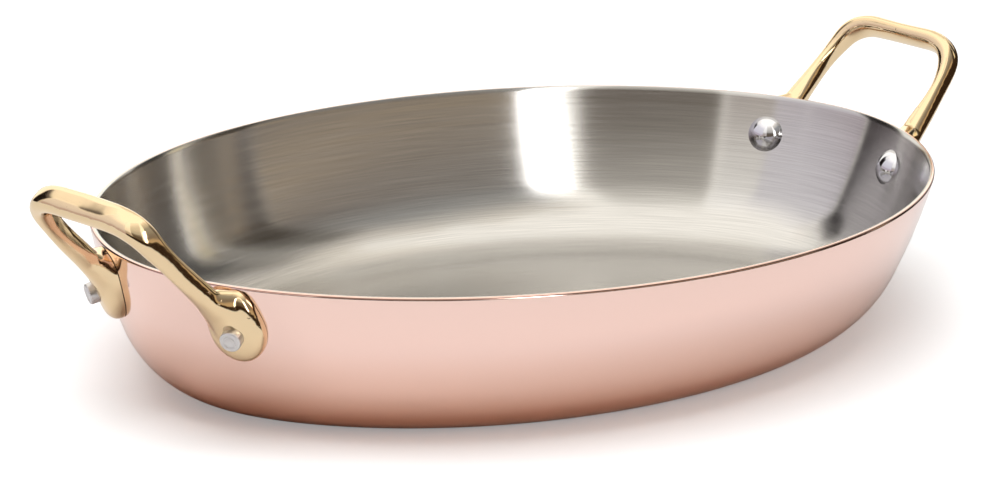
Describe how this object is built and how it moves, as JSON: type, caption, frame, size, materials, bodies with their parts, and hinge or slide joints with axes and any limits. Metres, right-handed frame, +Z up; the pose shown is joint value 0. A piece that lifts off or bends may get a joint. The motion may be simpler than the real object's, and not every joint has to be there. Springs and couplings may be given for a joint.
{
  "type": "oval pan",
  "caption": "Oval copper pan with a flared wall, a brushed steel lining and a riveted brass bail handle at each end.",
  "frame": {"origin": "middle of the flat underside, on the surface the pan stands on", "axes": "+X along the long axis of the oval, through both handles; +Z up, out of the open top; +Y across the pan"},
  "size_m": [0.3564, 0.2, 0.0716],
  "materials": {
    "copper": "polished copper, pale pink, with a mirror gloss",
    "lining_steel": "satin stainless steel, brushed round the pan",
    "cast_brass": "cast brass, polished to a pale gold mirror",
    "rivet_steel": "stainless steel, heads polished, upset ends dull"
  },
  "bodies": {
    "root": {"copper_shell": "copper", "steel_lining": "lining_steel", "handle_left": "cast_brass", "handle_right": "cast_brass", "rivet_left_front": "rivet_steel", "rivet_left_back": "rivet_steel", "rivet_right_front": "rivet_steel", "rivet_right_back": "rivet_steel"}
  },
  "joints": []
}
